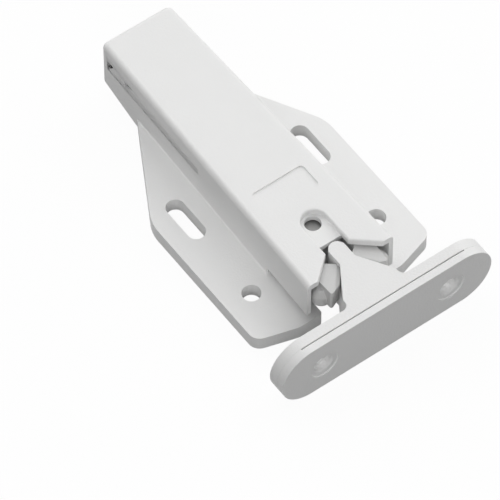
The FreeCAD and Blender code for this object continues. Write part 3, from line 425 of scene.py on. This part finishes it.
class CATCH_OT_carriage(bpy.types.Operator):
    """Carriage with the two pins that stand in it"""

    bl_idname = "catch.carriage"
    bl_label = "Carriage and pins"

    def execute(self, context):
        for node in ("carriage", "claw_pin_left", "claw_pin_right"):
            softened(node, context.scene.catch_edges.inner_edge)
        return {"FINISHED"}


class CATCH_OT_claws(bpy.types.Operator):
    """The two claws that hold the striker's tongue"""

    bl_idname = "catch.claws"
    bl_label = "Claws"

    def execute(self, context):
        for node in ("claw_left", "claw_right"):
            softened(node, context.scene.catch_edges.claw_edge)
        return {"FINISHED"}


class CATCH_OT_striker(bpy.types.Operator):
    """Striker plate with its tongue, and the backing plate"""

    bl_idname = "catch.striker"
    bl_label = "Striker"

    def execute(self, context):
        for node in ("striker", "striker_backing"):
            softened(node, context.scene.catch_edges.striker_edge)
        return {"FINISHED"}


class CATCH_OT_spring(bpy.types.Operator):
    """Main spring, wound turn by turn"""

    bl_idname = "catch.spring"
    bl_label = "Main spring"

    def execute(self, context):
        works = context.scene.catch_works
        values = {
            "Wire": works.coil_wire,
            "Radius": works.coil_radius,
            "Turns": works.coil_turns,
            "Length": works.coil_length,
            "Seat": works.coil_seat,
            "Level": works.coil_level,
        }
        grown("main_spring", bpy.data.meshes.new("coil_start"), coil_tree(), values)
        return {"FINISHED"}


class CATCH_OT_link(bpy.types.Operator):
    """Bent wire of the cam link, and the leaf that holds it down"""

    bl_idname = "catch.link"
    bl_label = "Cam link and leaf"

    def execute(self, context):
        works = context.scene.catch_works
        rear = works.link_post + works.link_reach
        chain = [
            (0, works.link_post, works.foot_low),
            (0, works.link_post, works.link_level),
            (0, rear, works.link_level),
            (0, rear, works.follower_low),
        ]
        mesh = bpy.data.meshes.new("link_chain")
        mesh.from_pydata(chain, [(0, 1), (1, 2), (2, 3)], [])
        grown("cam_link", mesh, bent_wire_tree(), {"Wire": works.link_wire, "Bend": works.link_bend})
        softened("link_retainer", context.scene.catch_edges.leaf_edge)
        return {"FINISHED"}


class CATCH_OT_stage(bpy.types.Operator):
    """Floor, light and camera"""

    bl_idname = "catch.stage"
    bl_label = "Stage"

    def execute(self, context):
        stage = context.scene.catch_stage
        make_floor(stage)
        make_light(stage)
        make_camera(stage)
        return {"FINISHED"}


def seen_directly(tree):
    """1 for rays of the eye, of a reflection and of a clear body, 0 for the light itself."""
    nodes = tree.nodes
    links = tree.links
    path = nodes.new("ShaderNodeLightPath")
    total = path.outputs["Is Camera Ray"]
    for ray in ("Is Glossy Ray", "Is Transmission Ray"):
        either = nodes.new("ShaderNodeMath")
        either.operation = "MAXIMUM"
        links.new(total, either.inputs[0])
        links.new(path.outputs[ray], either.inputs[1])
        total = either.outputs[0]
    return total


def make_floor(stage):
    """Wide white floor just under the catch, which still takes a faint shadow."""
    bpy.ops.mesh.primitive_plane_add(size=FLOOR_WIDTH, location=(0, 0, -FLOOR_DROP))
    floor = bpy.context.object
    floor.name = "floor"
    material, shader = new_material("floor_paper")
    nodes = material.node_tree.nodes
    links = material.node_tree.links
    shader.inputs["Roughness"].default_value = FLOOR_ROUGHNESS
    shader.inputs["Specular IOR Level"].default_value = 0.0
    tone = nodes.new("ShaderNodeMapRange")
    tone.inputs["To Min"].default_value = stage.floor_tone
    tone.inputs["To Max"].default_value = FLOOR_WHITE
    white = nodes.new("ShaderNodeEmission")
    share = nodes.new("ShaderNodeMath")
    share.operation = "MULTIPLY"
    share.inputs[1].default_value = stage.paper
    mix = nodes.new("ShaderNodeMixShader")
    seen = seen_directly(material.node_tree)
    links.new(seen, tone.inputs["Value"])
    links.new(tone.outputs["Result"], shader.inputs["Base Color"])
    links.new(seen, share.inputs[0])
    links.new(share.outputs[0], mix.inputs["Fac"])
    links.new(shader.outputs["BSDF"], mix.inputs[1])
    links.new(white.outputs["Emission"], mix.inputs[2])
    links.new(mix.outputs["Shader"], nodes["Material Output"].inputs["Surface"])
    floor.data.materials.append(material)


def soft_sun(name, strength, spread, towards):
    """A broad soft light that comes from a given direction."""
    sun = bpy.data.lights.new(name, "SUN")
    sun.energy = strength
    sun.angle = spread
    lamp = bpy.data.objects.new(name, sun)
    lamp.rotation_euler = Vector(towards).to_track_quat("Z", "Y").to_euler()
    bpy.context.scene.collection.objects.link(lamp)


def make_light(stage):
    """A faint light from all round and four broad soft lights."""
    world = bpy.data.worlds.new("studio")
    bpy.context.scene.world = world
    world.use_nodes = True
    nodes = world.node_tree.nodes
    links = world.node_tree.links
    even = nodes["Background"]
    even.inputs["Color"].default_value = (1, 1, 1, 1)
    even.inputs["Strength"].default_value = stage.ambient
    white = nodes.new("ShaderNodeBackground")
    white.inputs["Color"].default_value = (1, 1, 1, 1)
    mix = nodes.new("ShaderNodeMixShader")
    links.new(seen_directly(world.node_tree), mix.inputs["Fac"])
    links.new(even.outputs[0], mix.inputs[1])
    links.new(white.outputs[0], mix.inputs[2])
    links.new(mix.outputs[0], nodes["World Output"].inputs["Surface"])
    for name, towards in SOFT_LIGHTS.items():
        soft_sun(name, getattr(stage, name), stage.spread, towards)


def make_camera(stage):
    """Camera on the photograph's line of sight."""
    camera = bpy.data.cameras.new("camera")
    camera.lens = stage.lens
    camera.sensor_width = SENSOR_WIDTH
    camera.clip_end = SIGHT_RANGE
    eye = bpy.data.objects.new("camera", camera)
    away = Vector((
        math.cos(stage.elevation) * math.sin(stage.azimuth),
        -math.cos(stage.elevation) * math.cos(stage.azimuth),
        math.sin(stage.elevation),
    ))
    eye.location = Vector((stage.aim_across, stage.aim_along, stage.aim_level)) + stage.distance * away
    eye.rotation_euler = (math.pi / 2 - stage.elevation, 0, stage.azimuth)
    bpy.context.scene.collection.objects.link(eye)
    bpy.context.scene.camera = eye


class CATCH_PT_panel(bpy.types.Panel):
    bl_idname = "CATCH_PT_panel"
    bl_label = "Cupboard catch"
    bl_space_type = "VIEW_3D"
    bl_region_type = "UI"
    bl_category = "Catch"

    def draw(self, context):
        for attribute in GROUPS:
            group = getattr(context.scene, attribute)
            box = self.layout.box()
            for name in group.__annotations__:
                box.prop(group, name)
        for operator in OPERATORS:
            self.layout.operator(operator.bl_idname)


GROUPS = {
    "catch_finish": CatchFinish,
    "catch_edges": CatchEdges,
    "catch_works": CatchWorks,
    "catch_stage": CatchStage,
}
OPERATORS = (
    CATCH_OT_case,
    CATCH_OT_carriage,
    CATCH_OT_claws,
    CATCH_OT_striker,
    CATCH_OT_spring,
    CATCH_OT_link,
    CATCH_OT_stage,
)
CLASSES = tuple(GROUPS.values()) + OPERATORS + (CATCH_PT_panel,)


def register():
    for item in CLASSES:
        bpy.utils.register_class(item)
    for attribute, group in GROUPS.items():
        setattr(bpy.types.Scene, attribute, bpy.props.PointerProperty(type=group))


def unregister():
    for attribute in GROUPS:
        delattr(bpy.types.Scene, attribute)
    for item in reversed(CLASSES):
        bpy.utils.unregister_class(item)


def main():
    register()
    bpy.context.scene.view_settings.view_transform = "Standard"
    bpy.ops.catch.case()
    bpy.ops.catch.carriage()
    bpy.ops.catch.claws()
    bpy.ops.catch.striker()
    bpy.ops.catch.spring()
    bpy.ops.catch.link()
    bpy.ops.catch.stage()
    bpy.context.view_layer.update()


if __name__ == "__main__":
    main()
